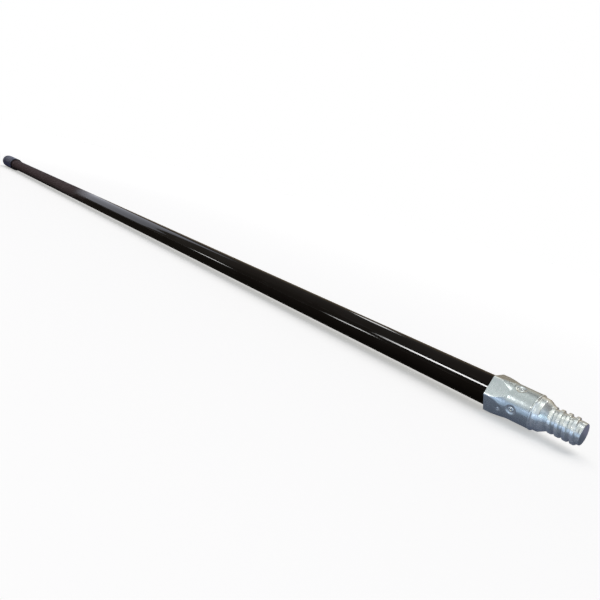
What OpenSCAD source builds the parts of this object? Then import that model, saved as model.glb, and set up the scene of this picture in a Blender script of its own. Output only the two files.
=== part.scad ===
// Painter's roller pole: a plain steel tube with a cast threaded tip and a slip-on end cap.
// The tip's end face lies at x = 0 and looks along +X. The pole runs back along -X, with +Z up
// and one flat of the tip's hexagon facing straight down, so that the pole can't roll.

/* [Tube] */
// Length of the whole pole, from the tip's end face to the closed end of the cap
pole_length = 1524; // [600:1:2400]
// Outside diameter of the tube
tube_d = 23.8; // [20:0.1:32]
// Wall thickness of the tube
tube_wall = 0.9; // [0.7:0.05:1.5]
// Width of the weld bead that runs along the inside of the tube
seam_w = 1.8; // [1:0.1:3]
// Height of the weld bead above the inner wall
seam_h = 0.25; // [0.15:0.05:0.4]
// Direction of the weld bead around the tube, from straight up towards +Y
seam_azimuth = 26; // [10:1:40]

/* [Thread] */
// Crest diameter of the thread
thread_d = 19.05; // [17:0.05:23]
// Distance from one ridge to the next
thread_pitch = 5.08; // [4:0.02:7]
// Height of the ridge above the core
thread_depth = 1.4; // [0.8:0.05:2]
// Width of the ridge at its crest
crest_w = 1.9; // [1:0.05:2.4]
// Width of the ridge at the core
ridge_w = 3.4; // [2.6:0.05:3.8]
// Radius that rounds each edge of the crest
crest_round = 0.45; // [0.2:0.05:0.6]
// Height of the threaded core's surface above the plain pilot in front of it
pilot_step = 0.2; // [0.2:0.05:0.5]
// Length of the pilot
pilot_len = 1.6; // [1.2:0.1:4]
// Rounding of the pilot's front edge
pilot_round = 0.5; // [0.2:0.05:1]
// Length of the pilot and the threaded core together
shank_len = 20.2; // [14:0.1:30]
// Turn of the thread about the pole
thread_clock = 90; // [0:1:359]

/* [Tip] */
// Length of the cone that widens the threaded core to the neck
cone_len = 6.6; // [4:0.1:10]
// Length of the plain neck behind the cone
neck_len = 4.2; // [2:0.1:8]
// Height of the rounded step from the neck up to the body
neck_step = 0.95; // [0.5:0.05:1.2]
// Length of the round body between the neck and the hexagon
body_len = 19; // [15:0.1:30]
// Growth of the body's radius over its length
body_draft = 0.2; // [0.05:0.05:0.6]
// Thickness of the casting around the socket at the front of the body
tip_wall = 1.35; // [1.3:0.05:2.5]
// Height of the hexagon's flats above the rear of the body
hex_rise = 0.08; // [0.04:0.02:1.5]
// Length of the hexagon, from the front of its chamfer to the rear face
hex_len = 15.5; // [12:0.1:30]
// Slope of the hexagon's front chamfer, against the pole's axis
hex_chamfer_angle = 11.5; // [8:0.5:30]
// Thickness of the solid metal between the neck's rear end and the socket's floor
socket_floor = 2; // [1:0.1:6]
// Chamfer at the socket's mouth
mouth_chamfer = 0.4; // [0.2:0.05:0.8]
// Diameter of the cored hole inside the thread, at its closed end
core_hole_d = 8; // [5:0.1:10]
// Thickness of the metal between the cored hole and the tip's end face
core_face = 6; // [3:0.1:12]
// Growth of the cored hole's radius towards the socket
core_draft = 0.8; // [0.2:0.1:1.2]

/* [Stakes] */
// Direction of the middle of one pair of stakes, from straight up towards +Y
stake_azimuth = -64; // [-90:1:90]
// Angle between the two stakes of a pair, about the pole
stake_spread = 80; // [50:1:90]
// Distance from the stakes' centres back to the front of the hexagon
stake_inset = 5; // [4.5:0.1:9]
// Depth of each stake's bowl
stake_depth = 0.95; // [0.5:0.05:1.1]
// Diameter of each stake's bowl
stake_d = 8; // [5:0.1:8.6]
// Diameter of the pit in the middle of each bowl
pit_d = 2.2; // [1:0.1:3]
// Depth of the pit below the bowl
pit_depth = 0.6; // [0.2:0.05:0.8]

/* [Cap] */
// Length of the end cap
cap_len = 83; // [40:1:140]
// Wall thickness of the cap's sleeve
cap_wall = 2.9; // [1.5:0.1:4]
// Thickness of the cap's closed end
cap_floor = 3.5; // [2:0.1:8]
// Rounding of the cap's closed end
cap_round = 3; // [1:0.1:5]
// Rounding of the outer edge of the cap's mouth
cap_lip_round = 0.8; // [0.3:0.1:1.5]

/* [Fits] */
// Radial clearance between the tube and the tip's socket
socket_clear = 0.05; // [0.02:0.01:0.1]
// Radial clearance between the tube and the end cap
cap_clear = 0.05; // [0.02:0.01:0.1]
// Gap between the tube's front end and the socket's floor
socket_gap = 0.1; // [0.05:0.05:0.3]
// Gap between the tube's rear end and the cap's floor
cap_gap = 0.1; // [0.05:0.05:0.3]
// Gap between the tip and the tube inside a stake
stake_gap = 0.05; // [0.02:0.01:0.1]

/* [Hidden] */
$fn = 64;

// Radii of the tube and of what fits it
tube_r = tube_d / 2;
tube_bore_r = tube_r - tube_wall;
socket_r = tube_r + socket_clear;
cap_bore_r = tube_r + cap_clear;
cap_r = cap_bore_r + cap_wall;

// Radii of the tip
crest_r = thread_d / 2;
root_r = crest_r - thread_depth;
pilot_r = root_r - pilot_step;
body_front_r = socket_r + tip_wall;
body_rear_r = body_front_r + body_draft;
neck_r = body_front_r - neck_step;
hex_flat_r = body_rear_r + hex_rise;
hex_corner_r = hex_flat_r / cos(30);

// Places along the pole, as distances back from the tip's end face
cone_end = shank_len + cone_len;
neck_end = cone_end + neck_len;
body_end = neck_end + body_len;
tip_end = body_end + hex_len;
socket_start = neck_end + socket_floor;
stake_z = body_end - stake_inset;
tube_start = socket_start + socket_gap;
tube_end = pole_length - cap_floor - cap_gap;
cap_start = pole_length - cap_len;

// A stake is a nest of spheres about one centre, which stands off the pole's side.
// The bowl in the casting, the casting's bulge in the socket, the dent in the tube and the
// bulge inside the tube lie deeper in turn, each on a sphere of its own.
bowl_surface_r = body_rear_r - body_draft * stake_inset / body_len;
bowl_r = (pow(stake_d / 2, 2) + pow(stake_depth, 2)) / (2 * stake_depth);
stake_centre_r = bowl_surface_r - stake_depth + bowl_r;
casting_bulge_r = stake_centre_r - (socket_r - stake_depth);
tube_dent_r = casting_bulge_r + stake_gap;
tube_bulge_r = tube_dent_r + tube_wall;
stake_angles = [for (side = [0, 180]) for (turn = [-0.5, 0.5]) stake_azimuth + side + turn * stake_spread];

// The thread is a ridge swept along a helix, in steps of thread_step degrees.
// It rises out of the pilot over lead_in degrees and ends buried in the cone.
thread_step = 15;
lead_in = 60;
ridge_sunk = 0.4;
cone_slope = (neck_r - root_r) / cone_len;
thread_first_z = pilot_len + ridge_w / 2;
thread_last_z = shank_len + thread_depth / cone_slope + ridge_w / 2;
thread_turn = thread_last_z - thread_first_z;
thread_steps = ceil(thread_turn / thread_pitch * 360 / thread_step);

// Points of an arc, from one angle to another about a centre
function arc(centre, r, from, to, steps = 6) =
    [for (i = [0:steps]) centre + r * [cos(from + (to - from) * i / steps), sin(from + (to - from) * i / steps)]];

// Height of the ridge's outline above its sunk foot, as a share of the whole, at an angle past the start
function ridge_share(angle) = min(1, 0.1 + 0.9 * angle / lead_in);

// Outline of the ridge: distance from the pole's axis, and distance along the pole.
// Its flanks run on below the core's surface to the sunk foot.
foot_w = ridge_w + (ridge_w - crest_w) * ridge_sunk / thread_depth;
ridge_outline = concat(
    [[root_r - ridge_sunk, -foot_w / 2]],
    arc([crest_r - crest_round, crest_round - crest_w / 2], crest_round, -60, 0, 2),
    arc([crest_r - crest_round, crest_w / 2 - crest_round], crest_round, 0, 60, 2),
    [[root_r - ridge_sunk, foot_w / 2]]);

// One point of the ridge: its outline point, carried to an angle past the thread's start
function ridge_point(outline_point, angle) =
    let (foot_r = root_r - ridge_sunk,
         r = foot_r + (outline_point[0] - foot_r) * ridge_share(angle),
         along = thread_first_z + thread_pitch * angle / 360,
         turn = thread_first_z / thread_pitch * 360 - thread_clock + angle)
    [r * cos(turn), r * sin(turn), along + outline_point[1]];

// Draws its children with their z axis running back along the pole and their x axis up
module along_pole() {
    rotate([0, -90, 0]) children();
}

// One child at each stake's centre
module at_stakes() {
    for (angle = stake_angles)
        rotate([0, 0, angle])
            translate([stake_centre_r, 0, stake_z])
                children();
}

// The bulges that the stakes raise on the inside of a wall whose inner radius is wall_r
module stake_bulges(sphere_r, wall_r) {
    overlap = min(0.3, tube_wall / 2);
    intersection() {
        at_stakes() sphere(r = sphere_r);
        translate([0, 0, stake_z - stake_d])
            cylinder(r = wall_r + overlap, h = 2 * stake_d);
    }
}

// The helical ridge of the thread
module thread_ridge() {
    n = len(ridge_outline);
    points = [for (i = [0:thread_steps]) for (p = ridge_outline) ridge_point(p, i * thread_step)];
    sides = [for (i = [0:thread_steps - 1]) for (j = [0:n - 1])
        [i * n + j, i * n + (j + 1) % n, (i + 1) * n + (j + 1) % n, (i + 1) * n + j]];
    first_end = [for (j = [n - 1:-1:0]) j];
    last_end = [for (j = [0:n - 1]) thread_steps * n + j];
    polyhedron(points = points, faces = concat(sides, [first_end, last_end]), convexity = 10);
}

// Everything of the tip that is turned about the pole's axis, without its bores
module tip_turned() {
    rotate_extrude()
        polygon(concat(
            [[0, 0]],
            arc([pilot_r - pilot_round, pilot_round], pilot_round, -90, 0),
            [[pilot_r, pilot_len], [root_r, pilot_len], [root_r, shank_len]],
            [[neck_r, cone_end], [neck_r, neck_end]],
            arc([body_front_r - neck_step, neck_end + neck_step], neck_step, -90, 0),
            [[body_rear_r, body_end], [0, body_end]]));
}

// The hexagon, with the cone that chamfers its front corners
module tip_hexagon() {
    past_corner = 1;
    chamfer_rise = hex_corner_r + past_corner - body_rear_r;
    chamfer_len = chamfer_rise / tan(hex_chamfer_angle);
    intersection() {
        translate([0, 0, body_end])
            rotate([0, 0, 30])
                cylinder(r = hex_corner_r, h = hex_len, $fn = 6);
        translate([0, 0, body_end])
            cylinder(r1 = body_rear_r, r2 = body_rear_r + chamfer_rise, h = chamfer_len);
    }
}

// The tube's socket and the cored hole that keeps the thread's wall even
module tip_bores() {
    cut = 1;
    translate([0, 0, socket_start])
        cylinder(r = socket_r, h = tip_end - socket_start + cut);
    translate([0, 0, tip_end - mouth_chamfer])
        cylinder(r1 = socket_r, r2 = socket_r + mouth_chamfer + cut, h = mouth_chamfer + cut);
    translate([0, 0, core_face])
        cylinder(r1 = core_hole_d / 2, r2 = core_hole_d / 2 + core_draft, h = socket_start - core_face + 0.01);
}

// The low round weld bead along the inside of the tube
module weld_bead() {
    bead_r = (pow(seam_w / 2, 2) + pow(seam_h, 2)) / (2 * seam_h);
    intersection() {
        rotate([0, 0, seam_azimuth])
            translate([tube_bore_r - seam_h + bead_r, 0, tube_start])
                cylinder(r = bead_r, h = tube_end - tube_start);
        translate([0, 0, tube_start])
            cylinder(r = tube_bore_r + tube_wall / 2, h = tube_end - tube_start);
    }
}

module pole_tube() {
    cut = 1;
    color("#15110f")
    along_pole()
    difference() {
        union() {
            difference() {
                translate([0, 0, tube_start])
                    cylinder(r = tube_r, h = tube_end - tube_start);
                translate([0, 0, tube_start - cut])
                    cylinder(r = tube_bore_r, h = tube_end - tube_start + 2 * cut);
            }
            weld_bead();
            stake_bulges(tube_bulge_r, tube_bore_r);
        }
        at_stakes() sphere(r = tube_dent_r);
    }
}

module threaded_tip() {
    color("#b9bdbb")
    along_pole()
    difference() {
        union() {
            difference() {
                union() {
                    tip_turned();
                    tip_hexagon();
                    thread_ridge();
                }
                tip_bores();
            }
            stake_bulges(casting_bulge_r, socket_r);
        }
        at_stakes() sphere(r = bowl_r);
        at_stakes()
            translate([-bowl_r - pit_depth, 0, 0])
                rotate([0, 90, 0])
                    cylinder(r1 = pit_d / 4, r2 = pit_d / 2, h = 2 * pit_depth);
    }
}

module end_cap() {
    color("#3a3b47")
    along_pole()
    rotate_extrude()
        polygon(concat(
            [[cap_bore_r, cap_start]],
            arc([cap_r - cap_lip_round, cap_start + cap_lip_round], cap_lip_round, -90, 0),
            arc([cap_r - cap_round, pole_length - cap_round], cap_round, 0, 90),
            [[0, pole_length], [0, pole_length - cap_floor], [cap_bore_r, pole_length - cap_floor]]));
}

pole_tube();
threaded_tip();
end_cap();
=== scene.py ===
"""Painter's roller pole: a gloss black steel tube, a bare cast tip with a thread, and a dark vinyl end cap.

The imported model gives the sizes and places, and each of its three nodes is dressed here in a finer mesh of
the same size. Sizes are written in millimetres and turned into metres by MM. "Back" is a distance from the
tip's end face along the pole, and an azimuth is an angle about the pole, from straight up towards +Y.
"""
import math

import bmesh
import bpy
import numpy as np
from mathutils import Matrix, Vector


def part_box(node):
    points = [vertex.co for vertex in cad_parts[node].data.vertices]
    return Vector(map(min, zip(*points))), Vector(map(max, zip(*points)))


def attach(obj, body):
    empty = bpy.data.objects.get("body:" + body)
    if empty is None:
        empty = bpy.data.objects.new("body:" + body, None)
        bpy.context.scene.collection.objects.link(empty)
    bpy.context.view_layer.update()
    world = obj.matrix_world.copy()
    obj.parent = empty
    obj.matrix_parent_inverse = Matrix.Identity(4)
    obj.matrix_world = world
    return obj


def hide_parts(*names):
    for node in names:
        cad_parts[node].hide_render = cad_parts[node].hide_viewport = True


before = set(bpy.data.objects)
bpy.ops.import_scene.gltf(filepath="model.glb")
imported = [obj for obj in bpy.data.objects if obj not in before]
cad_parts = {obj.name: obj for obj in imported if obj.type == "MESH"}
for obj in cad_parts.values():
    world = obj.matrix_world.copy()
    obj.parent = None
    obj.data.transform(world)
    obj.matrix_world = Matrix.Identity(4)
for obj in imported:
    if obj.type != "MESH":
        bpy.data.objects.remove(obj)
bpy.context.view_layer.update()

MM = 0.001

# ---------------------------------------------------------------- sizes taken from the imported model

tip_low, tip_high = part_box("threaded_tip")
tube_low, tube_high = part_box("pole_tube")
cap_low, cap_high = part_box("end_cap")

TIP_LENGTH = -tip_low.x / MM
HEX_FLAT_R = tip_high.z / MM
TUBE_R = tube_high.z / MM
TUBE_START = -tube_high.x / MM
TUBE_END = -tube_low.x / MM
CAP_R = cap_high.z / MM
CAP_START = -cap_high.x / MM
POLE_LENGTH = -cap_low.x / MM

# ---------------------------------------------------------------- the tip's own sizes, in mm and degrees

PILOT_R = 7.925
PILOT_END = 1.6
PILOT_ROUND = 0.5
CORE_R = 8.125
CORE_STEP = 0.2
SHANK_END = 20.2
NECK_R = 12.35
CONE_END = 26.8
NECK_END = 31.0
STEP_ROUND = 0.95
NECK_CROWN = 0.22
BEAD_HEIGHT = 0.24
BEAD_FLAT = 0.3
BEAD_WIDTH = 0.8
CASTING_SOFTNESS = 0.18
BODY_FRONT_R = 13.3
BODY_REAR_R = 13.5
BODY_END = 50.0
HEX_CORNER_R = HEX_FLAT_R / math.cos(math.pi / 6)
HEX_CORNER_CUT = 0.12
HEX_CORNER_BLEND = 0.25
HEX_CHAMFER_ANGLE = 11.5
HEX_CHAMFER_BLEND = 0.10
SOCKET_R = 11.95
SOCKET_START = 33.0
SOCKET_CHAMFER = 0.4
CORE_HOLE_R = 4.0
CORE_HOLE_DRAFT = 0.8
CORE_HOLE_START = 6.0

THREAD = {
    "Pitch": 5.08,
    "Core Radius": CORE_R,
    "Ridge Height": 1.4,
    "Crest Width": 1.7,
    "Ridge Width": 3.6,
    "First Ridge": 3.3,
    "Clock": 90.0,
    "Lead In": 60.0,
    "Root Blend": 0.15,
    "Middle": 13.5,
    "Half Reach": 11.4,
}

STAKE_BACK = 45.0
STAKE_AZIMUTHS = (-104, -24, 76, 156)
STAKE_R = 4.3
STAKE_FLOOR_R = 1.9
STAKE_DEPTH = 1.0
PIT_R = 0.95
PIT_DEPTH = 0.70
PIT_RING_R = 1.35
PIT_RING_WIDTH = 0.35
PIT_RING_HEIGHT = 0.30

EJECTOR_BACK = 54.2
EJECTOR_AZIMUTH = -122
EJECTOR_R = 2.0
EJECTOR_DEPTH = 0.34
EJECTOR_EDGE = 0.16
EJECTOR_RING_R = 1.1
EJECTOR_RING_WIDTH = 0.4
EJECTOR_RING_HEIGHT = 0.50

# each wave's height in mm, radians per mm along the pole, waves round it, and where it starts in radians
CASTING_WAVES = ((0.012, 0.61, 2, 0.4), (0.008, 1.07, -3, 1.9), (0.004, 1.9, 7, 0.0))

# how much the tip's colour is lightened, from 0 to 1: partly from rubbing or pressing, partly as painted
# highlight
RUB_AND_HIGHLIGHT_FRONT = 0.65
RUB_AND_HIGHLIGHT_CREST = 0.30
RUB_AND_HIGHLIGHT_STAKE = 0.5
PAINTED_HIGHLIGHT_BEAD = 0.8

# how dark the tip's colour is painted, as painted shade, in its recesses and on its end face, from 0 to 1. A
# pit goes past 1, so that its middle is all dark
PAINTED_SHADE_ROOT = 0.15
PAINTED_SHADE_PIT = 1.5
PAINTED_SHADE_BOWL = 0.2
PAINTED_SHADE_FACE = 0.4

# where such places are and how wide they are, in mm
END_FACE = 0.05
FRONT_FADE = 0.25
BEAD_FADE = 0.45
CORNER_REACH = 0.55
CORNER_FADE = 0.4
BOWL_SIDE_R = 2.9
BOWL_SIDE_FADE = 0.9
PRINT_R = 1.9

# ---------------------------------------------------------------- the tube's and the cap's own sizes

TUBE_WALL = 0.9
TUBE_EDGE = 0.15
TUBE_DENT_R = 5.0
TUBE_DENT_DEPTH = 0.9
SEAM_AZIMUTH = 26
SEAM_WIDTH = 1.8
SEAM_HEIGHT = 0.25

CAP_BORE_R = 11.95
CAP_FLOOR = 3.5
CAP_ROUND = 3.0
CAP_END_BAND = 3.0
CAP_LIP_ROUND = 0.8
CAP_BORE_EDGE = 0.3

# where the enamel begins to be dull and painted brownish as a painted reflection, and where it is all so, in
# metres along X
DULL_FROM = -0.88
DULL_ALL = -0.97

# ---------------------------------------------------------------- shapes: small tools


def smooth_min(a, b, blend):
    """The lower of two heights, rounded over blend where they meet."""
    h = np.clip(0.5 + 0.5 * (b - a) / blend, 0.0, 1.0)
    return b * (1.0 - h) + a * h - blend * h * (1.0 - h)


def wrapped(angle):
    """An angle in radians, brought to between -pi and pi."""
    return (angle + math.pi) % (2 * math.pi) - math.pi


def arc(centre, radius, start, end, steps):
    """Points (back, radius) of an arc in a turned outline, from one angle in degrees to another."""
    angles = np.radians(np.linspace(start, end, steps + 1))
    return [(centre[0] + radius * math.sin(a), centre[1] + radius * math.cos(a)) for a in angles]


def ring_points(back, radius, azimuths):
    """Points, in mm, of one ring about the pole. The radius may be one value or one for each azimuth."""
    radius = radius * np.ones(len(azimuths))
    return np.stack([np.full(len(azimuths), -back), radius * np.sin(azimuths), radius * np.cos(azimuths)], 1)


def skin(name, rings, columns, radius_at):
    """A closed skin about the pole's axis. Each ring is (back, layer), and radius_at(back, azimuths, layer)
    gives its radii. The first and the last ring are closed by a point on the axis."""
    azimuths = np.linspace(0, 2 * math.pi, columns, endpoint=False)
    points = []
    layers = []
    for back, layer in rings:
        points.append(ring_points(back, radius_at(back, azimuths, layer), azimuths))
        layers += [layer] * columns
    points = (np.concatenate(points) * MM).tolist()
    layers += [rings[0][1], rings[-1][1]]
    points += [(-rings[0][0] * MM, 0, 0), (-rings[-1][0] * MM, 0, 0)]
    first_pole, last_pole = len(points) - 2, len(points) - 1
    last = (len(rings) - 1) * columns
    faces = []
    for j in range(columns):
        k = (j + 1) % columns
        faces += [(i + j, i + k, i + columns + k, i + columns + j) for i in range(0, last, columns)]
        faces += [(first_pole, k, j), (last_pole, last + j, last + k)]
    mesh = bpy.data.meshes.new(name)
    mesh.from_pydata(points, [], faces)
    skin_layer = mesh.attributes.new("layer", "FLOAT", "POINT")
    skin_layer.data.foreach_set("value", np.array(layers, np.float32))
    return tidied(mesh)


def tidied(mesh, sharp=32):
    """Turns the faces outwards and shades them smooth, except at edges sharper than an angle in degrees."""
    bm = bmesh.new()
    bm.from_mesh(mesh)
    bmesh.ops.recalc_face_normals(bm, faces=bm.faces)
    for face in bm.faces:
        face.smooth = True
    for edge in bm.edges:
        edge.smooth = edge.calc_face_angle(0) < math.radians(sharp)
    bm.to_mesh(mesh)
    bm.free()
    return mesh


def dress(name, mesh, material, body, node):
    """Puts a finished mesh in the scene as the visible form of a CAD node."""
    piece = bpy.data.objects.new(name, mesh)
    bpy.context.scene.collection.objects.link(piece)
    mesh.materials.clear()
    mesh.materials.append(material)
    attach(piece, body)
    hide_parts(node)
    return piece


# ---------------------------------------------------------------- materials: small tools


class Nodes:
    """Makes and links nodes in a tree, with short calls. An input is given a plain value or a socket."""

    def __init__(self, tree):
        self.tree = tree

    def add(self, kind, inputs=None, **settings):
        """A new node of a kind. Its inputs are a dict, and its other settings are given by name."""
        node = self.tree.nodes.new(kind)
        for key, value in settings.items():
            setattr(node, key, value)
        self.fill(node, inputs or {})
        return node

    def fill(self, node, inputs):
        """Gives a node's named or numbered inputs their values or links."""
        for key, value in inputs.items():
            if isinstance(value, bpy.types.NodeSocket):
                self.tree.links.new(value, node.inputs[key])
            else:
                node.inputs[key].default_value = value

    def math(self, operation, *values):
        return self.add("ShaderNodeMath", dict(enumerate(values)), operation=operation).outputs[0]

    def ramp(self, value, low, high, to_low=0.0, to_high=1.0):
        """A value brought from one range to another, and kept inside it."""
        inputs = {"Value": value, "From Min": low, "From Max": high, "To Min": to_low, "To Max": to_high}
        return self.add("ShaderNodeMapRange", inputs).outputs[0]

    def noise(self, vector, scale, detail=3.0, roughness=0.5):
        inputs = {"Vector": vector, "Scale": scale, "Detail": detail, "Roughness": roughness}
        return self.add("ShaderNodeTexNoise", inputs).outputs["Fac"]

    def mix(self, factor, a, b):
        """A colour between two others. Inputs 6 and 7 and output 2 are the node's colour sockets."""
        return self.add("ShaderNodeMix", {0: factor, 6: a, 7: b}, data_type="RGBA").outputs[2]

    def bump(self, height, distance, strength=1.0, normal=None):
        inputs = {"Height": height, "Distance": distance, "Strength": strength}
        if normal is not None:
            inputs["Normal"] = normal
        return self.add("ShaderNodeBump", inputs).outputs["Normal"]


def new_material(name):
    """A material with a Principled BSDF. Gives the material, its nodes and the BSDF."""
    material = bpy.data.materials.new(name)
    material.use_nodes = True
    nodes = Nodes(material.node_tree)
    return material, nodes, material.node_tree.nodes["Principled BSDF"]


def rgb(red, green, blue):
    """An opaque colour."""
    return (red, green, blue, 1.0)


def node_group(name, inputs, outputs):
    """An empty shader group with named sockets. inputs and outputs are lists of (name, kind)."""
    group = bpy.data.node_groups.new(name, "ShaderNodeTree")
    for socket, kind in inputs:
        group.interface.new_socket(socket, in_out="INPUT", socket_type=kind)
    for socket, kind in outputs:
        group.interface.new_socket(socket, in_out="OUTPUT", socket_type=kind)
    nodes = Nodes(group)
    return group, nodes, nodes.add("NodeGroupInput"), nodes.add("NodeGroupOutput")


def make_handling_marks():
    """Fine scratches along the pole and soft smudges, as masks from 0 to 1."""
    group, nodes, given, out = node_group(
        "handling_marks",
        [("Vector", "NodeSocketVector"), ("Scratch Scale", "NodeSocketFloat"),
         ("Smudge Scale", "NodeSocketFloat")],
        [("Scratches", "NodeSocketFloat"), ("Smudges", "NodeSocketFloat")],
    )
    along = nodes.add("ShaderNodeMapping", {"Vector": given.outputs["Vector"], "Scale": (0.03, 1.0, 1.0)})
    streaks = nodes.noise(along.outputs[0], given.outputs["Scratch Scale"], 6.0, 0.6)
    scratches = nodes.ramp(streaks, 0.62, 0.70)
    blotches = nodes.noise(given.outputs["Vector"], given.outputs["Smudge Scale"], 4.0)
    smudges = nodes.ramp(blotches, 0.42, 0.66)
    group.links.new(scratches, out.inputs["Scratches"])
    group.links.new(smudges, out.inputs["Smudges"])
    return group


def make_fine_grain():
    """The small unevenness of a surface as it left its mould or bath: a normal, from two sizes of grain."""
    group, nodes, given, out = node_group(
        "fine_grain",
        [("Vector", "NodeSocketVector"), ("Coarse Scale", "NodeSocketFloat"),
         ("Coarse Depth", "NodeSocketFloat"), ("Fine Scale", "NodeSocketFloat"),
         ("Fine Depth", "NodeSocketFloat")],
        [("Normal", "NodeSocketVector")],
    )
    coarse = nodes.noise(given.outputs["Vector"], given.outputs["Coarse Scale"], 2.0)
    fine = nodes.noise(given.outputs["Vector"], given.outputs["Fine Scale"], 3.0, 0.6)
    coarse_normal = nodes.bump(coarse, given.outputs["Coarse Depth"])
    normal = nodes.bump(fine, given.outputs["Fine Depth"], 1.0, coarse_normal)
    group.links.new(normal, out.inputs["Normal"])
    return group


handling_marks = make_handling_marks()
fine_grain = make_fine_grain()


def place_group(nodes, group, **inputs):
    """A node that holds a group. Each input's name is given with underscores for its spaces."""
    node = nodes.add("ShaderNodeGroup")
    node.node_tree = group
    nodes.fill(node, {key.replace("_", " "): value for key, value in inputs.items()})
    return node


# ---------------------------------------------------------------- the three finishes


def black_enamel():
    """Gloss black enamel over steel. It is duller where hands hold it, towards the cap, and its colour there
    is painted brownish as a painted reflection of dark brown surroundings. The inside of the tube is bare
    steel."""
    material, nodes, surface = new_material("black_enamel")
    link = material.node_tree.links.new
    place = nodes.add("ShaderNodeTexCoord").outputs["Object"]
    xyz = nodes.add("ShaderNodeSeparateXYZ", {0: place})
    marks = place_group(nodes, handling_marks, Vector=place, Scratch_Scale=900.0, Smudge_Scale=22.0)
    grain = place_group(nodes, fine_grain, Vector=place, Coarse_Scale=260.0, Coarse_Depth=0.000012,
                        Fine_Scale=1400.0, Fine_Depth=0.000003)
    distance = nodes.math("SQRT", nodes.math("ADD", nodes.math("POWER", xyz.outputs["Y"], 2.0),
                                             nodes.math("POWER", xyz.outputs["Z"], 2.0)))
    inside = nodes.ramp(distance, (TUBE_R - 0.3) * MM, (TUBE_R - 0.5) * MM)
    wander = nodes.math("MULTIPLY", nodes.math("SUBTRACT", nodes.noise(place, 12.0), 0.5), 0.12)
    held_and_painted_reflection = nodes.ramp(nodes.math("ADD", xyz.outputs["X"], wander), DULL_FROM, DULL_ALL)
    gloss_black = nodes.mix(marks.outputs["Smudges"], rgb(0.0075, 0.006, 0.0048), rgb(0.010, 0.0085, 0.0072))
    # painted reflection: a brownish colour towards the cap that stands in for reflected dark brown
    # surroundings
    painted_brown_reflection = nodes.mix(marks.outputs["Smudges"], rgb(0.037, 0.023, 0.023), rgb(0.046, 0.030, 0.031))
    enamel = nodes.mix(held_and_painted_reflection, gloss_black, painted_brown_reflection)
    scratched = nodes.math("MULTIPLY", marks.outputs["Scratches"], 0.25)
    enamel = nodes.mix(scratched, enamel, rgb(0.06, 0.055, 0.05))
    steel = nodes.mix(marks.outputs["Smudges"], rgb(0.33, 0.32, 0.31), rgb(0.20, 0.16, 0.13))
    link(nodes.mix(inside, enamel, steel), surface.inputs["Base Color"])
    shine = nodes.math("ADD", nodes.ramp(marks.outputs["Smudges"], 0.0, 1.0, 0.03, 0.06),
                       nodes.math("MULTIPLY", marks.outputs["Scratches"], 0.05))
    dulled = nodes.math("MAXIMUM", shine, nodes.math("MULTIPLY", held_and_painted_reflection, 0.8))
    link(nodes.math("MAXIMUM", dulled, nodes.math("MULTIPLY", inside, 0.45)), surface.inputs["Roughness"])
    link(nodes.math("MULTIPLY", inside, 0.9), surface.inputs["Metallic"])
    link(grain.outputs["Normal"], surface.inputs["Normal"])
    surface.inputs["IOR"].default_value = 1.35
    return material


def cast_metal():
    """Bare die-cast metal: satin and a little blotchy. Its colour is lightened in front, on crests, corners,
    bead and marks, partly from rubbing or pressing and partly as painted highlight, and darkened as painted
    shade in the pits and bowls, at the thread's root and on the end face."""
    material, nodes, surface = new_material("cast_metal")
    link = material.node_tree.links.new
    place = nodes.add("ShaderNodeTexCoord").outputs["Object"]
    painted_shade = nodes.add("ShaderNodeAttribute", attribute_name="painted_shade").outputs["Fac"]
    rub_and_painted_highlight = nodes.add("ShaderNodeAttribute", attribute_name="rub_and_painted_highlight").outputs["Fac"]
    marks = place_group(nodes, handling_marks, Vector=place, Scratch_Scale=2600.0, Smudge_Scale=260.0)
    grain = place_group(nodes, fine_grain, Vector=place, Coarse_Scale=420.0, Coarse_Depth=0.000007,
                        Fine_Scale=2000.0, Fine_Depth=0.0000028)
    metal = nodes.mix(marks.outputs["Smudges"], rgb(0.56, 0.60, 0.595), rgb(0.50, 0.54, 0.54))
    # painted highlight: a near-white colour mixed in where the tip is lightened, partly for rubbing or
    # pressing
    bright = nodes.mix(marks.outputs["Smudges"], rgb(0.97, 0.98, 0.93), rgb(0.70, 0.74, 0.76))
    metal = nodes.mix(rub_and_painted_highlight, metal, bright)
    # painted shade: a dark bluish colour mixed into the thread's root, the pits, the bowls and the end face
    metal = nodes.mix(nodes.math("MULTIPLY", painted_shade, 0.75), metal, rgb(0.20, 0.22, 0.27))
    scratched = nodes.math("MULTIPLY", marks.outputs["Scratches"], 0.25)
    metal = nodes.mix(scratched, metal, rgb(0.80, 0.80, 0.78))
    link(metal, surface.inputs["Base Color"])
    rough = nodes.math("ADD", nodes.ramp(marks.outputs["Smudges"], 0.0, 1.0, 0.26, 0.31),
                       nodes.math("MULTIPLY", painted_shade, 0.10))
    link(rough, surface.inputs["Roughness"])
    link(grain.outputs["Normal"], surface.inputs["Normal"])
    surface.inputs["Metallic"].default_value = 0.8
    return material


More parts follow.
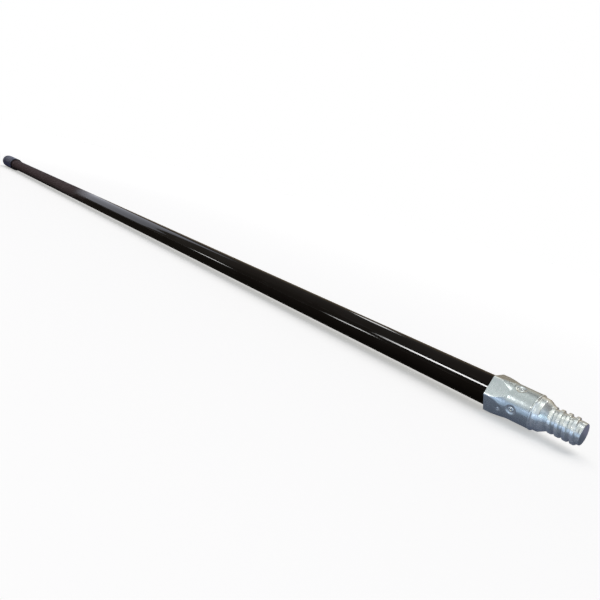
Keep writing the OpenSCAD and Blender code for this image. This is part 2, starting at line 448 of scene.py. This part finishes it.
def dark_vinyl():
    """Soft dip-moulded vinyl, slate grey with a navy cast."""
    material, nodes, surface = new_material("dark_vinyl")
    link = material.node_tree.links.new
    place = nodes.add("ShaderNodeTexCoord").outputs["Object"]
    marks = place_group(nodes, handling_marks, Vector=place, Scratch_Scale=700.0, Smudge_Scale=60.0)
    grain = place_group(nodes, fine_grain, Vector=place, Coarse_Scale=120.0, Coarse_Depth=0.00025,
                        Fine_Scale=2000.0, Fine_Depth=0.00003)
    vinyl = nodes.mix(marks.outputs["Smudges"], rgb(0.022, 0.023, 0.034), rgb(0.032, 0.033, 0.046))
    scratched = nodes.math("MULTIPLY", marks.outputs["Scratches"], 0.3)
    vinyl = nodes.mix(scratched, vinyl, rgb(0.12, 0.12, 0.14))
    link(vinyl, surface.inputs["Base Color"])
    link(nodes.ramp(marks.outputs["Smudges"], 0.0, 1.0, 0.48, 0.62), surface.inputs["Roughness"])
    link(grain.outputs["Normal"], surface.inputs["Normal"])
    surface.inputs["Sheen Weight"].default_value = 0.15
    surface.inputs["Sheen Tint"].default_value = rgb(0.25, 0.3, 0.8)
    return material


# ---------------------------------------------------------------- the threaded tip

TIP_COLUMNS = 264
TIP_RING_STEP = 0.25
TIP_SHARP_ANGLE = 40
OUTSIDE, INSIDE = 1.0, 0.0


def turned_outline():
    """The outline of the tip's turned part, from its end face to the front of the hexagon."""
    points = [(0.0, PILOT_R - PILOT_ROUND)]
    points += arc((PILOT_ROUND, PILOT_R - PILOT_ROUND), PILOT_ROUND, -90, 0, 6)
    points += [(PILOT_END, PILOT_R), (PILOT_END + CORE_STEP, CORE_R), (SHANK_END, CORE_R)]
    points += [(CONE_END, NECK_R - NECK_CROWN), ((CONE_END + NECK_END) / 2, NECK_R), (NECK_END, NECK_R)]
    bead_back, bead_r = NECK_END + STEP_ROUND, BODY_FRONT_R + BEAD_HEIGHT
    points += arc((bead_back, bead_r - STEP_ROUND), STEP_ROUND, -90, 0, 8)
    points += [(bead_back + BEAD_FLAT, bead_r), (bead_back + BEAD_WIDTH, BODY_FRONT_R)]
    points += [(BODY_END, BODY_REAR_R)]
    return np.array(points)


outline = turned_outline()


def softened_outline_radius(back, soften=CASTING_SOFTNESS):
    """Radius of the turned outline, with its corners softened as a casting's are."""
    if back < 2 * soften + PILOT_ROUND:
        return float(np.interp(back, outline[:, 0], outline[:, 1]))
    spots = back + np.linspace(-2 * soften, 2 * soften, 9)
    weights = np.exp(-0.5 * ((spots - back) / soften) ** 2)
    return float(np.sum(weights * np.interp(spots, outline[:, 0], outline[:, 1])) / weights.sum())


def hexagon_radius(back, azimuths):
    """Radius of the hexagon with its cone-chamfered front corners. One flat faces straight up."""
    from_flat = np.abs((azimuths + math.pi / 6) % (math.pi / 3) - math.pi / 6)
    sides = smooth_min(HEX_FLAT_R / np.cos(from_flat), HEX_CORNER_R - HEX_CORNER_CUT, HEX_CORNER_BLEND)
    cone = BODY_REAR_R + (back - BODY_END) * math.tan(math.radians(HEX_CHAMFER_ANGLE))
    return smooth_min(sides, cone, HEX_CHAMFER_BLEND)


def across_skin(back, azimuths, mark_back, mark_azimuth, radius):
    """Distance over the skin, in mm, from a mark's centre."""
    sideways = wrapped(azimuths - math.radians(mark_azimuth)) * radius
    return np.sqrt((back - mark_back) ** 2 + sideways ** 2)


def stake_relief(distance):
    """Height of a stake's mark above the body: a soft bowl with a small ringed pit in the middle."""
    inward = np.clip((STAKE_R - distance) / (STAKE_R - STAKE_FLOOR_R), 0, 1)
    bowl = -STAKE_DEPTH * inward ** 2 * (3 - 2 * inward)
    pit = -PIT_DEPTH * np.clip(1 - (distance / PIT_R) ** 2, 0, 1)
    ring = PIT_RING_HEIGHT * np.exp(-((distance - PIT_RING_R) / PIT_RING_WIDTH) ** 2)
    return bowl + pit + ring


def ejector_relief(distance):
    """The faint round print of an ejector pin: a shallow disc with a raised ring in it."""
    disc = -EJECTOR_DEPTH * (1 / (1 + np.exp((distance - EJECTOR_R) / EJECTOR_EDGE)))
    ring = EJECTOR_RING_HEIGHT * np.exp(-((distance - EJECTOR_RING_R) / EJECTOR_RING_WIDTH) ** 2)
    return disc + ring


def casting_waves(back, azimuths):
    """The slow unevenness of a cast surface, in mm."""
    return sum(height * np.sin(along * back + around * azimuths + start)
               for height, along, around, start in CASTING_WAVES)


def tip_radius(back, azimuths, layer):
    """Radius of the tip's skin, without its thread."""
    if layer == INSIDE:
        backs = [CORE_HOLE_START, SOCKET_START - 0.01, SOCKET_START, TIP_LENGTH - SOCKET_CHAMFER, TIP_LENGTH]
        radii = [CORE_HOLE_R, CORE_HOLE_R + CORE_HOLE_DRAFT, SOCKET_R, SOCKET_R, SOCKET_R + SOCKET_CHAMFER]
        return np.interp(back, backs, radii)
    if back < 1e-6:
        return PILOT_R - PILOT_ROUND
    radius = hexagon_radius(back, azimuths) if back > BODY_END else softened_outline_radius(back)
    radius = radius + casting_waves(back, azimuths)
    for azimuth in STAKE_AZIMUTHS:
        radius = radius + stake_relief(across_skin(back, azimuths, STAKE_BACK, azimuth, BODY_REAR_R))
    return radius + ejector_relief(across_skin(back, azimuths, EJECTOR_BACK, EJECTOR_AZIMUTH, HEX_FLAT_R))


def tip_rings():
    """Rings of the tip's skin: over the outside from the end face to the rear, then back up the socket."""
    front = [0.0, 0.03, 0.10, 0.20, 0.33]
    outside = front + list(np.arange(PILOT_ROUND, TIP_LENGTH - 0.1, TIP_RING_STEP)) + [TIP_LENGTH]
    inside = [TIP_LENGTH, TIP_LENGTH - SOCKET_CHAMFER, TIP_LENGTH - 4]
    inside += [SOCKET_START, SOCKET_START - 0.01, CORE_HOLE_START]
    return [(back, OUTSIDE) for back in outside] + [(back, INSIDE) for back in inside]


def thread_tree():
    """Geometry Nodes that raise a helical ridge on the tip's core. Sizes are in mm, angles in degrees."""
    tree = bpy.data.node_groups.new("cut_thread", "GeometryNodeTree")
    tree.interface.new_socket("Geometry", in_out="INPUT", socket_type="NodeSocketGeometry")
    for name in THREAD:
        tree.interface.new_socket(name, in_out="INPUT", socket_type="NodeSocketFloat")
    tree.interface.new_socket("Finish", in_out="INPUT", socket_type="NodeSocketMaterial")
    tree.interface.new_socket("Geometry", in_out="OUTPUT", socket_type="NodeSocketGeometry")
    nodes = Nodes(tree)
    math_ = nodes.math
    given = nodes.add("NodeGroupInput").outputs
    position = nodes.add("GeometryNodeInputPosition").outputs[0]
    place = nodes.add("ShaderNodeSeparateXYZ", {0: position}).outputs
    back = math_("DIVIDE", place["X"], -MM)
    side = math_("DIVIDE", place["Y"], MM)
    up = math_("DIVIDE", place["Z"], MM)
    azimuth = math_("ARCTAN2", side, up)
    turns = math_("DIVIDE", math_("ADD", math_("DEGREES", azimuth), given["Clock"]), 360.0)
    radius = math_("SQRT", math_("ADD", math_("POWER", side, 2.0), math_("POWER", up, 2.0)))
    # how far along the pole the nearest ridge's centre line is, and where that centre line is
    phase = math_("SUBTRACT", math_("DIVIDE", back, given["Pitch"]), turns)
    nearest = math_("ROUND", phase)
    off_centre = math_("MULTIPLY", math_("SUBTRACT", phase, nearest), given["Pitch"])
    centre = math_("SUBTRACT", back, off_centre)
    turns_in = math_("DIVIDE", math_("SUBTRACT", centre, given["First Ridge"]), given["Pitch"])
    degrees_in = math_("MULTIPLY", turns_in, 360.0)
    fade = nodes.ramp(math_("DIVIDE", degrees_in, given["Lead In"]), -0.1, 1.0)
    half_crest = math_("DIVIDE", given["Crest Width"], 2.0)
    half_ridge = math_("DIVIDE", given["Ridge Width"], 2.0)
    flank = nodes.add("ShaderNodeMapRange",
                      {"Value": math_("ABSOLUTE", off_centre),
                       "From Min": half_ridge, "From Max": half_crest},
                      interpolation_type="SMOOTHERSTEP").outputs[0]
    height = math_("MULTIPLY", math_("MULTIPLY", flank, fade), given["Ridge Height"])
    ridge_radius = math_("ADD", given["Core Radius"], height)
    raised = math_("SMOOTH_MAX", radius, ridge_radius, given["Root Blend"])
    on_outside = nodes.add("GeometryNodeInputNamedAttribute", {"Name": "layer"}, data_type="FLOAT")
    from_middle = math_("ABSOLUTE", math_("SUBTRACT", back, given["Middle"]))
    in_reach = nodes.add("FunctionNodeCompare", {0: from_middle, 1: given["Half Reach"]},
                         operation="LESS_THAN")
    chosen = nodes.add("FunctionNodeBooleanMath", {0: on_outside.outputs[0], 1: in_reach.outputs[0]},
                       operation="AND").outputs[0]
    factor = math_("DIVIDE", raised, radius)
    moved = nodes.add("ShaderNodeCombineXYZ",
                      {"X": place["X"], "Y": math_("MULTIPLY", place["Y"], factor),
                       "Z": math_("MULTIPLY", place["Z"], factor)}).outputs[0]
    threaded = nodes.add("GeometryNodeSetPosition",
                         {"Geometry": given["Geometry"], "Selection": chosen, "Position": moved}).outputs[0]
    crest = nodes.add("GeometryNodeStoreNamedAttribute",
                      {"Geometry": threaded, "Name": "ridge", "Value": math_("MULTIPLY", flank, fade)},
                      data_type="FLOAT", domain="POINT").outputs[0]
    real = nodes.add("GeometryNodeRealizeInstances", {0: crest}).outputs[0]
    finished = nodes.add("GeometryNodeSetMaterial", {"Geometry": real, "Material": given["Finish"]})
    nodes.add("NodeGroupOutput", {"Geometry": finished.outputs[0]})
    return tree


def applied(name, mesh, tree, values):
    """The mesh that a Geometry Nodes tree makes of another, with the tree's named inputs set."""
    holder = bpy.data.objects.new(name + "_holder", mesh)
    bpy.context.scene.collection.objects.link(holder)
    modifier = holder.modifiers.new(tree.name, "NODES")
    modifier.node_group = tree
    for item in tree.interface.items_tree:
        if item.in_out == "INPUT" and item.name in values:
            modifier[item.identifier] = values[item.name]
    depsgraph = bpy.context.evaluated_depsgraph_get()
    result = bpy.data.meshes.new_from_object(holder.evaluated_get(depsgraph), depsgraph=depsgraph)
    bpy.data.objects.remove(holder)
    result.name = name
    return result


def rub_and_painted_highlight_level(back, radius, azimuths, ridge):
    """How much the tip's colour is lightened: in front, on crests and in the stakes' marks partly from
    rubbing or pressing and partly as painted highlight, and at the corners, the bead and the ejector's print
    as painted highlight.
    """
    front = 1 / (1 + np.exp((back - NECK_END - 0.4) / FRONT_FADE))
    rub_and_painted_highlight = front * (RUB_AND_HIGHLIGHT_FRONT + RUB_AND_HIGHLIGHT_CREST * np.clip(ridge * 1.5 - 0.3, 0, 1))
    for azimuth in STAKE_AZIMUTHS:
        distance = across_skin(back, azimuths, STAKE_BACK, azimuth, BODY_REAR_R)
        rub_and_painted_highlight = np.maximum(rub_and_painted_highlight, RUB_AND_HIGHLIGHT_STAKE * np.clip(STAKE_R - distance, 0, 1))
    rub_and_painted_highlight = np.where(back < END_FACE, 0.0, rub_and_painted_highlight)
    corner = np.clip((radius - HEX_CORNER_R + CORNER_REACH) / CORNER_FADE, 0, 1)
    bead = PAINTED_HIGHLIGHT_BEAD * np.exp(-((back - NECK_END - 0.7) / BEAD_FADE) ** 2)
    from_print = across_skin(back, azimuths, EJECTOR_BACK, EJECTOR_AZIMUTH, HEX_FLAT_R)
    return np.maximum.reduce([rub_and_painted_highlight, corner, bead, np.clip(PRINT_R - from_print, 0, 1)])


def painted_shade_level(back, azimuths, ridge):
    """How dark the tip's colour is painted, as painted shade: at the thread's root, in the pits and bowls,
    and on the end face.
    """
    on_thread = (back > PILOT_END) & (back < SHANK_END + 1)
    painted_shade = np.where(on_thread, PAINTED_SHADE_ROOT * (1 - np.clip(ridge * 2, 0, 1)), 0.0)
    for azimuth in STAKE_AZIMUTHS:
        distance = across_skin(back, azimuths, STAKE_BACK, azimuth, BODY_REAR_R)
        painted_shade = np.maximum(painted_shade, np.clip(PAINTED_SHADE_PIT * (1 - distance / PIT_R), 0, 1))
        side = PAINTED_SHADE_BOWL * np.exp(-((distance - BOWL_SIDE_R) / BOWL_SIDE_FADE) ** 2)
        painted_shade = np.maximum(painted_shade, side)
    return np.where(back < END_FACE, PAINTED_SHADE_FACE, painted_shade)


def mark_wear_and_painted_light(mesh):
    """Stores each point's painted shade, and how much it is lightened by rubbing and by painted highlight,
    for its finish.
    """
    co = np.zeros(len(mesh.vertices) * 3, np.float32)
    mesh.vertices.foreach_get("co", co)
    co = co.reshape(-1, 3) / MM
    back, radius = -co[:, 0], np.hypot(co[:, 1], co[:, 2])
    azimuths = np.arctan2(co[:, 1], co[:, 2])
    ridge = np.zeros(len(co), np.float32)
    mesh.attributes["ridge"].data.foreach_get("value", ridge)
    painted_shade = painted_shade_level(back, azimuths, ridge)
    rub_and_painted_highlight = rub_and_painted_highlight_level(back, radius, azimuths, ridge)
    for name, values in (("painted_shade", painted_shade), ("rub_and_painted_highlight", rub_and_painted_highlight)):
        attribute = mesh.attributes.new(name, "FLOAT", "POINT")
        attribute.data.foreach_set("value", values.astype(np.float32))


def build_threaded_tip():
    """The casting: a turned and hexagonal skin with its marks, the thread cut on it, and its wear, painted
    shade and painted highlight.
    """
    finish = cast_metal()
    plain = skin("tip_blank", tip_rings(), TIP_COLUMNS, tip_radius)
    values = dict(THREAD, Finish=finish)
    mesh = tidied(applied("tip_skin", plain, thread_tree(), values), TIP_SHARP_ANGLE)
    mark_wear_and_painted_light(mesh)
    return dress("threaded_tip_casting", mesh, finish, "pole", "threaded_tip")


# ---------------------------------------------------------------- the tube

TUBE_COLUMNS = 240


def tube_radius(back, azimuths, layer):
    """Radius of the tube's outside or inside, with the stakes' dents and the weld bead within."""
    radius = np.full(len(azimuths), TUBE_R if layer == OUTSIDE else TUBE_R - TUBE_WALL)
    if back < TUBE_START + 1e-6 or back > TUBE_END - 1e-6:
        radius = radius + (-TUBE_EDGE if layer == OUTSIDE else TUBE_EDGE)
    for azimuth in STAKE_AZIMUTHS:
        distance = across_skin(back, azimuths, STAKE_BACK, azimuth, TUBE_R)
        radius = radius - TUBE_DENT_DEPTH * np.clip(1 - (distance / TUBE_DENT_R) ** 2, 0, 1)
    if layer == INSIDE:
        sideways = np.abs(wrapped(azimuths - math.radians(SEAM_AZIMUTH))) * TUBE_R
        radius = radius - SEAM_HEIGHT * np.clip(1 - (2 * sideways / SEAM_WIDTH) ** 2, 0, 1)
    return radius


def build_pole_tube():
    """The tube is an open skin turned over at both ends, so it has a real wall."""
    near_stakes = list(np.arange(STAKE_BACK - 6, STAKE_BACK + 6.1, 1.0))
    along = list(np.linspace(STAKE_BACK + 20, TUBE_END - 20, 40))
    backs = [TUBE_START, TUBE_START + TUBE_EDGE] + near_stakes + along + [TUBE_END - TUBE_EDGE, TUBE_END]
    rings = [(back, OUTSIDE) for back in backs] + [(back, INSIDE) for back in reversed(backs)]
    azimuths = np.linspace(0, 2 * math.pi, TUBE_COLUMNS, endpoint=False)
    points = [ring_points(back, tube_radius(back, azimuths, layer), azimuths) for back, layer in rings]
    points = np.concatenate(points) * MM
    faces = []
    for i in range(len(rings)):
        a, b = i * TUBE_COLUMNS, (i + 1) % len(rings) * TUBE_COLUMNS
        for j in range(TUBE_COLUMNS):
            k = (j + 1) % TUBE_COLUMNS
            faces.append((a + j, a + k, b + k, b + j))
    mesh = bpy.data.meshes.new("tube_skin")
    mesh.from_pydata(points.tolist(), [], faces)
    return dress("pole_tube_enamelled", tidied(mesh), black_enamel(), "pole", "pole_tube")


# ---------------------------------------------------------------- the end cap

CAP_COLUMNS = 144


def cap_outline():
    """The cap's outline: from its closed end, over the outside, round the lip and down the bore."""
    round_start, lip_end = POLE_LENGTH - CAP_ROUND, CAP_START + CAP_LIP_ROUND
    points = [(POLE_LENGTH, CAP_R - CAP_ROUND - CAP_END_BAND)]
    points += arc((round_start, CAP_R - CAP_ROUND), CAP_ROUND, 90, 0, 10)
    points += [(back, CAP_R) for back in np.linspace(round_start - 2, lip_end + 1, 14)]
    points += arc((lip_end, CAP_R - CAP_LIP_ROUND), CAP_LIP_ROUND, 0, -90, 6)
    points += [(CAP_START, CAP_BORE_R + CAP_BORE_EDGE), (CAP_START + CAP_BORE_EDGE, CAP_BORE_R)]
    points += [(back, CAP_BORE_R) for back in np.linspace(CAP_START + 6, POLE_LENGTH - CAP_FLOOR, 8)]
    return points


def build_end_cap():
    """The cap is turned from its outline. Each ring's layer is its place in that outline."""
    points = cap_outline()
    rings = [(point[0], float(i)) for i, point in enumerate(points)]
    mesh = skin("cap_skin", rings, CAP_COLUMNS, lambda back, azimuths, layer: points[int(layer)][1])
    return dress("end_cap_vinyl", mesh, dark_vinyl(), "cap", "end_cap")


pieces = [build_threaded_tip(), build_pole_tube(), build_end_cap()]

# ---------------------------------------------------------------- floor, world, lights and camera, in metres

FLOOR_REACH = 40.0
FLOOR_LEVEL = cap_low.z - 0.0001
BOX_LEVEL = FLOOR_LEVEL + 0.0008
CARD_LEVEL = FLOOR_LEVEL + 0.0004

# a gloss card at least this strong is sampled as a lamp
LAMP_STRENGTH = 2

# name, centre, direction it faces, width, height, level and colour
TIP_BOXES = (
    ("tip_front", (-0.55, -1.2, 0.65), (0, 1, 0), 1.5, 0.9, 0.80, (0.95, 1.0, 1.0)),
    ("tip_blue", (0.08, -1.2, 0.16), (0, 1, 0), 0.36, 0.32, 0.6, (0.50, 0.62, 1.0)),
    ("tip_low", (-0.55, -1.2, 0.10), (0, 1, 0), 1.5, 0.2, 0.60, (0.78, 0.90, 1.0)),
    ("tip_back", (-0.5, 1.3, 1.5), (0, -1, 0), 3.0, 1.8, 0.38, (1.0, 0.98, 0.88)),
    ("tip_window", (1.2, -0.6, 0.5), (-1, 0, 0), 1.4, 1.2, 0.42, (0.48, 0.72, 1.0)),
    ("tip_patch", (0.9, -0.85, 0.02), (-1, 1, 0), 0.25, 0.25, 3.5, (0.62, 0.86, 1.0)),
    ("tip_floor", (0.0, -0.28, BOX_LEVEL), (0, 0, 1), 0.7, 0.5, 0.68, (0.55, 0.74, 1.0)),
    ("tip_sheen", (-0.037, -0.118, BOX_LEVEL + 0.0002), (0, 0, 1), 0.034, 0.085, 0.9, (0.5, 0.72, 1.0)),
    ("tip_violet", (-0.052, -0.110, BOX_LEVEL + 0.0004), (0, 0, 1), 0.018, 0.07, 1.5, (0.72, 0.76, 1.0)),
    ("tip_under", (-0.05, 0.1, BOX_LEVEL - 0.0002), (0, 0, 1), 0.9, 1.0, 0.13, (0.48, 0.62, 1.0)),
    ("tip_end", (0.2, 0.3, BOX_LEVEL), (0, 0, 1), 0.4, 0.5, 0.18, (0.80, 0.70, 1.0)),
    ("tip_gleam", (-0.105, -0.121, 0.062), (0.43, 0.81, -0.42), 0.030, 0.014, 12, (1.0, 1.0, 1.0)),
)

# name, start, end, width, strength, the point it faces, and its brightness from start to end
TUBE_STRIPS = (
    ("strip_high", (-0.45, -1.0, 0.53), (-0.88, -0.852, 0.499), 0.17, 42, (-0.1, 0, 0),
     (1, 1, 1, 1, 0.9, 0.5, 0)),
    ("strip_low", (-0.86, -0.98, 0.125), (-1.02, -0.907, 0.025), 0.10, 21, (-0.2, 0, 0), (0, 1, 1, 0.8, 0)),
    ("strip_far", (-1.34, -0.73, 0.03), (-1.50, -0.64, 0.05), 0.06, 13, (-0.45, 0, 0), (0, 1, 1, 0)),
    ("strip_top", (-1.84, 1.26, 2.15), (-2.0, 1.77, 1.61), 0.25, 8, (-0.18, 0, 0), (0, 1, 1, 0)),
)


def seen_directly(nodes):
    """1 for the rays that show the background: those from the camera, off a gloss or through glass."""
    path = nodes.add("ShaderNodeLightPath").outputs
    seen = nodes.math("MAXIMUM", path["Is Camera Ray"], path["Is Glossy Ray"])
    return nodes.math("MAXIMUM", seen, path["Is Transmission Ray"])


def build_floor():
    """A plain white floor that the cap rests on. It brightens to the backdrop's white away from the pole,
    and it throws little light back up at the pole."""
    mesh = bpy.data.meshes.new("floor")
    reach = FLOOR_REACH
    corners = [(-reach, -reach), (reach, -reach), (reach, reach), (-reach, reach)]
    mesh.from_pydata([(x, y, FLOOR_LEVEL) for x, y in corners], [], [(0, 1, 2, 3)])
    floor = bpy.data.objects.new("floor", mesh)
    bpy.context.scene.collection.objects.link(floor)
    material, nodes, surface = new_material("floor_white")
    link = material.node_tree.links.new
    seen = seen_directly(nodes)
    link(nodes.mix(seen, rgb(0.25, 0.25, 0.27), rgb(0.84, 0.84, 0.84)), surface.inputs["Base Color"])
    surface.inputs["Roughness"].default_value = 0.9
    surface.inputs["Specular IOR Level"].default_value = 0.0
    surface.inputs["Emission Color"].default_value = rgb(1.0, 1.0, 0.95)
    position = nodes.add("ShaderNodeTexCoord").outputs["Object"]
    place = nodes.add("ShaderNodeSeparateXYZ", {0: position}).outputs
    beyond_cap = nodes.math("SUBTRACT", -POLE_LENGTH * MM, place["X"])
    beyond = nodes.math("MAXIMUM", nodes.math("MAXIMUM", place["X"], beyond_cap), 0.0)
    from_pole = nodes.math("SQRT", nodes.math("ADD", nodes.math("POWER", beyond, 2.0),
                                              nodes.math("POWER", place["Y"], 2.0)))
    lift = nodes.ramp(from_pole, 0.05, 0.9, 0.455, 0.51)
    link(nodes.math("MULTIPLY", seen, lift), surface.inputs["Emission Strength"])
    mesh.materials.append(material)
    return floor


def build_world():
    """A white backdrop all round under a dark ceiling, and a cool even light that fills the shadows."""
    world = bpy.data.worlds.new("studio")
    bpy.context.scene.world = world
    world.use_nodes = True
    nodes = Nodes(world.node_tree)
    background = world.node_tree.nodes["Background"]
    direction = nodes.add("ShaderNodeTexCoord").outputs["Generated"]
    up = nodes.add("ShaderNodeSeparateXYZ", {0: direction}).outputs["Z"]
    ceiling = nodes.ramp(up, 0.40, 0.62)
    shown = nodes.mix(ceiling, rgb(1, 1, 1), rgb(0.16, 0.15, 0.14))
    lit = rgb(0.17, 0.18, 0.23)
    world.node_tree.links.new(nodes.mix(seen_directly(nodes), lit, shown), background.inputs["Color"])
    background.inputs["Strength"].default_value = 1.0


def shine_on(lamp, pieces):
    """Makes a lamp or a bright card shine on some pieces only."""
    receivers = bpy.data.collections.new(lamp.name + "_receivers")
    for piece in pieces:
        receivers.objects.link(piece)
    lamp.light_linking.receiver_collection = receivers


def key_light(name, heading, elevation, spread, strength, colour, lit, gleams=False):
    """Light from one direction, spread over an angle, for the objects in lit. Angles are in degrees. Without
    gleams it does not show in their gloss."""
    lamp = bpy.data.lights.new(name, "SUN")
    lamp.angle = math.radians(spread)
    lamp.energy = strength
    lamp.color = colour
    holder = bpy.data.objects.new(name, lamp)
    bpy.context.scene.collection.objects.link(holder)
    h, e = math.radians(heading), math.radians(elevation)
    towards = Vector((math.cos(e) * math.cos(h), math.cos(e) * math.sin(h), math.sin(e)))
    holder.rotation_euler = towards.to_track_quat("Z", "Y").to_euler()
    holder.visible_glossy = gleams
    shine_on(holder, lit)


def soft_box(name, centre, facing, width, height, level, colour, lit):
    """A rectangle of even light for the objects in lit. It has its centre, the direction it faces and its
    size across and up, and level is how bright it looks."""
    lamp = bpy.data.lights.new(name, "AREA")
    lamp.shape = "RECTANGLE"
    lamp.size = width
    lamp.size_y = height
    lamp.energy = level * math.pi * width * height
    lamp.color = colour
    holder = bpy.data.objects.new(name, lamp)
    bpy.context.scene.collection.objects.link(holder)
    holder.location = centre
    holder.rotation_euler = (-Vector(facing)).to_track_quat("Z", "Y").to_euler()
    holder.visible_camera = False
    shine_on(holder, lit)


def gloss_card(name, corners, colour, strength, glow=(1, 1), lit=None):
    """A studio card that only shows in the gloss. Its four corners are near low, far low, far high and near
    high, and glow is how bright it is at even steps from its near edge to its far edge."""
    near_low, far_low, far_high, near_high = (Vector(corner) for corner in corners)
    steps = len(glow) - 1
    points = []
    for i in range(steps + 1):
        points += [near_low.lerp(far_low, i / steps), near_high.lerp(far_high, i / steps)]
    mesh = bpy.data.meshes.new(name)
    mesh.from_pydata(points, [], [(2 * i, 2 * i + 2, 2 * i + 3, 2 * i + 1) for i in range(steps)])
    brightness = mesh.attributes.new("glow", "FLOAT", "POINT")
    brightness.data.foreach_set("value", np.repeat(np.array(glow, np.float32), 2))
    card = bpy.data.objects.new(name, mesh)
    bpy.context.scene.collection.objects.link(card)
    material, nodes, surface = new_material(name + "_card")
    glow_here = nodes.add("ShaderNodeAttribute", attribute_name="glow").outputs["Fac"]
    level = nodes.math("MULTIPLY", glow_here, strength)
    surface.inputs["Base Color"].default_value = rgb(0, 0, 0)
    surface.inputs["Specular IOR Level"].default_value = 0.0
    surface.inputs["Emission Color"].default_value = rgb(*colour)
    material.node_tree.links.new(level, surface.inputs["Emission Strength"])
    if strength < LAMP_STRENGTH:
        material.cycles.emission_sampling = "NONE"
    mesh.materials.append(material)
    card.visible_camera = False
    card.visible_diffuse = False
    card.visible_shadow = False
    card.visible_transmission = False
    if lit:
        shine_on(card, lit)


def strip_card(name, start, end, width, strength, target, glow, lit):
    """A long narrow bright card from start to end, square to the line to its target."""
    start, end, target = Vector(start), Vector(end), Vector(target)
    across = ((start + end) / 2 - target).cross(end - start).normalized() * width / 2
    corners = [start - across, end - across, end + across, start + across]
    gloss_card(name, corners, (1, 1, 1), strength, glow, lit)


def build_gloss_cards():
    """The dark room and its one bright window, as the gloss shows them."""
    near, far, left, right, low, high = 0.3, -4.6, -1.5, 1.5, CARD_LEVEL, 1.4
    under = [(near, left, low), (far, left, low), (far, right, low), (near, right, low)]
    gloss_card("under", under, (1, 0.85, 0.7), 0.03)
    front = [(3, left, 0), (-2.6, left, 0), (-2.6, left, high), (3, left, high)]
    gloss_card("front", front, (1, 0.9, 0.8), 0.08)
    back = [(3, right, 0), (far, right, 0), (far, right, high), (3, right, high)]
    gloss_card("back", back, (1, 0.78, 0.52), 0.30)
    end = [(far, -4, 0), (far, 4, 0), (far, 4, 4), (far, -4, 4)]
    gloss_card("far", end, (1, 0.9, 0.8), 0.14)
    window = [(-4, -1.68, 0.3), (-4, 1.2, 0.3), (-4, 0.5, 2.75), (-4, -1.68, 1.0)]
    gloss_card("far_window", window, (0.95, 0.98, 1.1), 1.1)


def build_lights(pieces, floor):
    """Lamps for the floor, for the tube and the cap, and for the bare tip, which is lit on its own."""
    tip, tube, dark_pieces = pieces[:1], pieces[1:2], pieces[1:]
    key_light("floor_key", 95, 68, 70, 1.45, (1.0, 0.97, 0.93), [floor])
    key_light("pole_key", -112, 46, 20, 2.2, (1.0, 0.98, 0.93), dark_pieces)
    key_light("back_fill", 95, 20, 60, 1.2, (0.95, 0.97, 1.0), dark_pieces)
    key_light("tip_sky", -112, 58, 90, 1.03, (0.94, 1.0, 0.98), tip, True)
    key_light("tip_facet", -95, 78, 17, 0.22, (1.0, 1.0, 0.98), tip, True)
    key_light("tip_over", 80, 61, 14, 0.20, (1.0, 1.0, 0.95), tip, True)
    for box in TIP_BOXES:
        soft_box(*box, tip)
    for strip in TUBE_STRIPS:
        strip_card(*strip, tube)
    build_gloss_cards()


def build_camera():
    """Looks along the pole from beside its tip, a little from above and leaning to one side."""
    camera = bpy.data.objects.new("camera", bpy.data.cameras.new("camera"))
    bpy.context.scene.collection.objects.link(camera)
    camera.location = (0.0889, -0.3720, 0.1027)
    camera.rotation_euler = [math.radians(turn) for turn in (78.656, -14.243, 48.312)]
    camera.data.sensor_width = 36.0
    camera.data.lens = 30.85
    camera.data.clip_start = 0.01
    camera.data.clip_end = 100.0
    bpy.context.scene.camera = camera


build_world()
build_lights(pieces, build_floor())
build_camera()
bpy.context.scene.view_settings.view_transform = "Standard"
